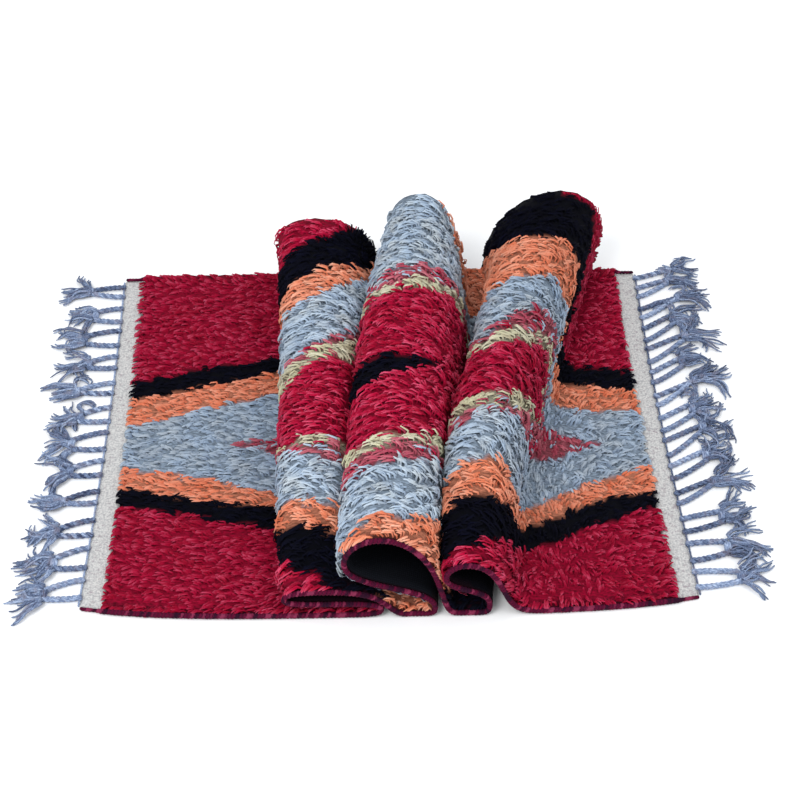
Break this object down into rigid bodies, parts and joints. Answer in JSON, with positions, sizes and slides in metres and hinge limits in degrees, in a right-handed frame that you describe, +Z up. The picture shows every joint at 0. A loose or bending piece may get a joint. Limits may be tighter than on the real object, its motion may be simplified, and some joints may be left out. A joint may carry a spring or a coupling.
{
  "type": "berber rug",
  "caption": "Long-pile wool rug lying gathered in three leaning folds, with flat woven headings, overcast edges and a knotted cord fringe at both ends.",
  "frame": {"origin": "on the floor, under the middle of the whole rug with its fringe", "axes": "+X along the rug from its left heading to its right heading, +Y across it from the front edge to the back edge, +Z up"},
  "size_m": [1.1122, 0.8251, 0.191],
  "materials": {
    "wool_pile": "long matte wool pile, crimson with black, orange, grey-blue, pink and straw bands",
    "overcast_edge": "matte maroon and navy overcast wool",
    "flatweave": "matte cream plain weave",
    "twisted_yarn": "matte grey-lavender two-ply yarn"
  },
  "bodies": {
    "root": {"rug_body": "wool_pile", "binding_front": "overcast_edge", "binding_back": "overcast_edge", "heading_left": "flatweave", "heading_right": "flatweave", "fringe_left": "twisted_yarn", "fringe_right": "twisted_yarn"}
  },
  "joints": []
}
